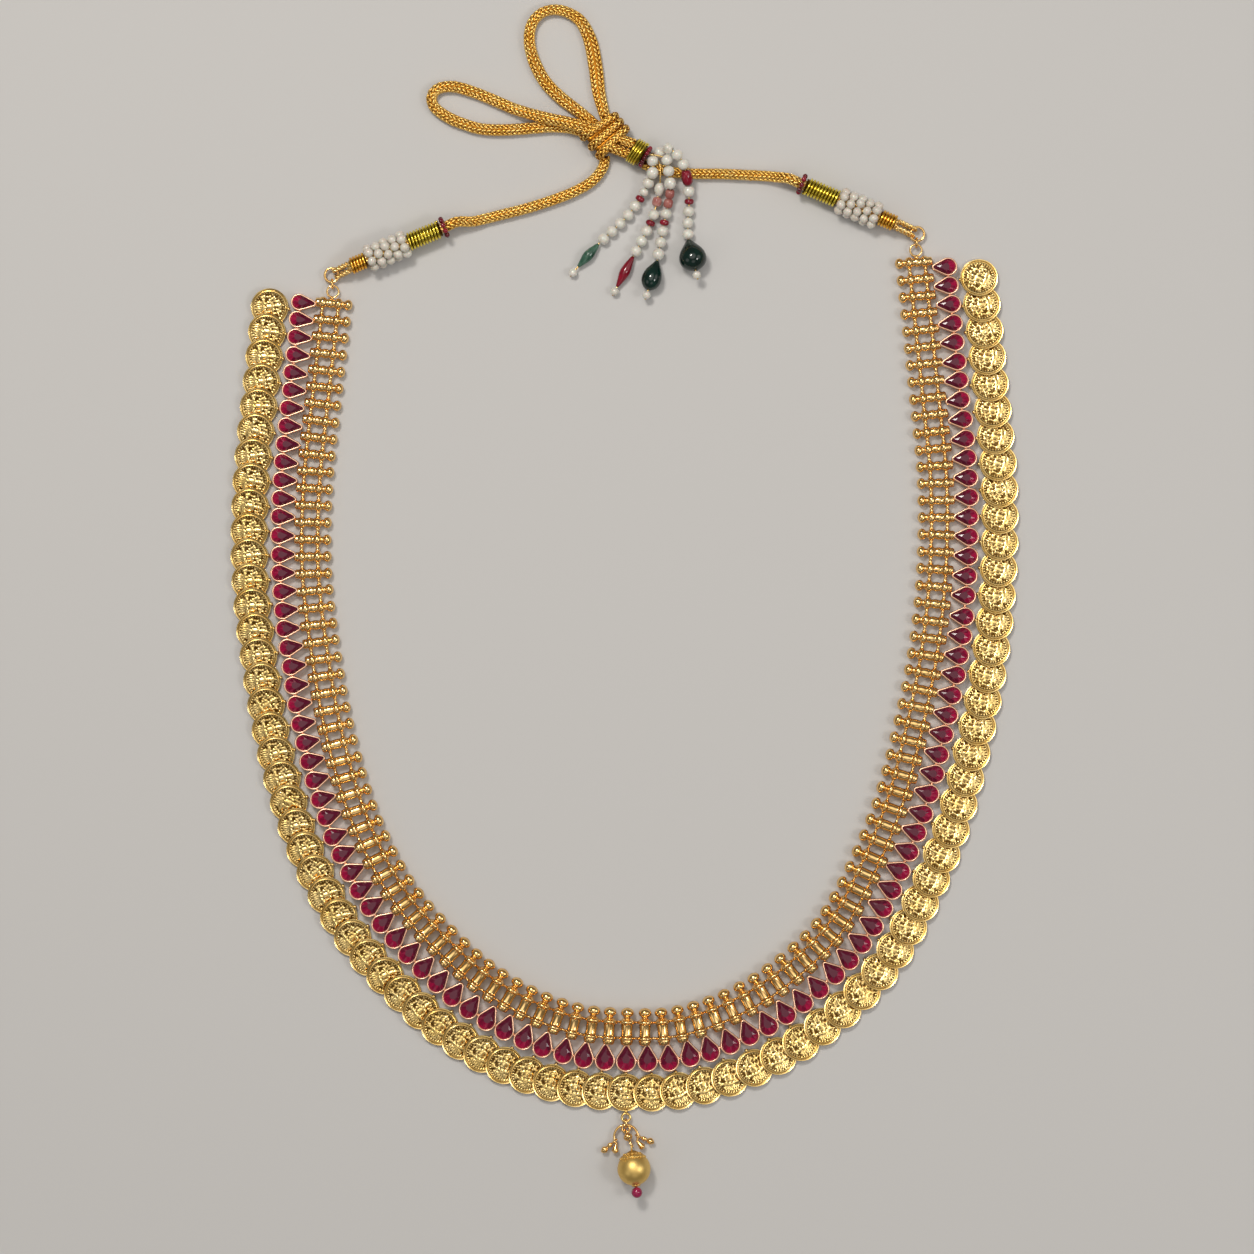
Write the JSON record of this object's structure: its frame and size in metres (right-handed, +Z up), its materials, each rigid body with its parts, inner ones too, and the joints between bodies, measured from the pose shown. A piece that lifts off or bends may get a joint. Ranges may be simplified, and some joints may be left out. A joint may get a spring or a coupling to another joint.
{
  "type": "temple jewellery necklace with tie cord",
  "caption": "Gold temple necklace lying open: cast bead band, pear-cut red stones, overlapping coins, ball pendant, and a tie cord with a bow knot and a beaded tassel.",
  "frame": {"origin": "on the table surface, under the middle stone of the band", "axes": "+Z up from the table, +Y from the pendant towards the tie cord, +X to the right seen from above"},
  "size_m": [0.1973, 0.2983, 0.0084],
  "materials": {
    "gold": "polished antique gold plate",
    "coin_gold": "stamped matt gold plate",
    "rose_gold": "polished rose gold plate",
    "gold_wire": "bright wire",
    "ruby": "faceted red glass",
    "red_glass": "red glass",
    "green_glass": "dark green glass",
    "pearl": "pearl lustre",
    "cord": "woven gold thread",
    "gold_thread": "twisted gold thread"
  },
  "bodies": {
    "root": {"bead_band_left": "gold", "bead_band_right": "gold", "setting_strip_left": "rose_gold", "setting_strip_right": "rose_gold", "rubies_left": "ruby", "rubies_right": "ruby", "coins_left": "coin_gold", "coins_right": "coin_gold", "end_link_left": "gold", "end_link_right": "gold", "jump_ring_left": "gold", "jump_ring_right": "gold", "thread_loop_left": "gold_thread", "thread_loop_right": "gold_thread", "short_wrap_left": "gold_wire", "short_wrap_right": "gold_wire", "pearl_sleeve_left": "pearl", "pearl_sleeve_right": "pearl", "coil_wrap_left": "gold_wire", "coil_wrap_right": "gold_wire", "red_ring_left": "red_glass", "red_ring_right": "red_glass", "cord_left": "cord", "cord_right": "cord", "bow_loop_left": "cord", "bow_loop_top": "cord", "cord_tail_upper": "cord", "cord_tail_lower": "cord", "knot": "cord", "tassel_cap": "gold_wire", "tassel_band": "red_glass", "tassel_thread_1": "gold_thread", "tassel_thread_2": "gold_thread", "tassel_thread_3": "gold_thread", "tassel_thread_4": "gold_thread", "tassel_beads_1": "pearl", "tassel_beads_2": "pearl", "tassel_beads_3": "pearl", "tassel_beads_4": "pearl", "tassel_drop_1": "green_glass", "tassel_drop_2": "red_glass", "tassel_drop_3": "green_glass", "tassel_drop_4": "green_glass", "pendant_link": "gold", "pendant_hoop": "gold", "pendant_link_lower": "gold", "pendant_ball": "gold", "pendant_bead": "ruby", "pendant_charms": "gold"}
  },
  "joints": []
}
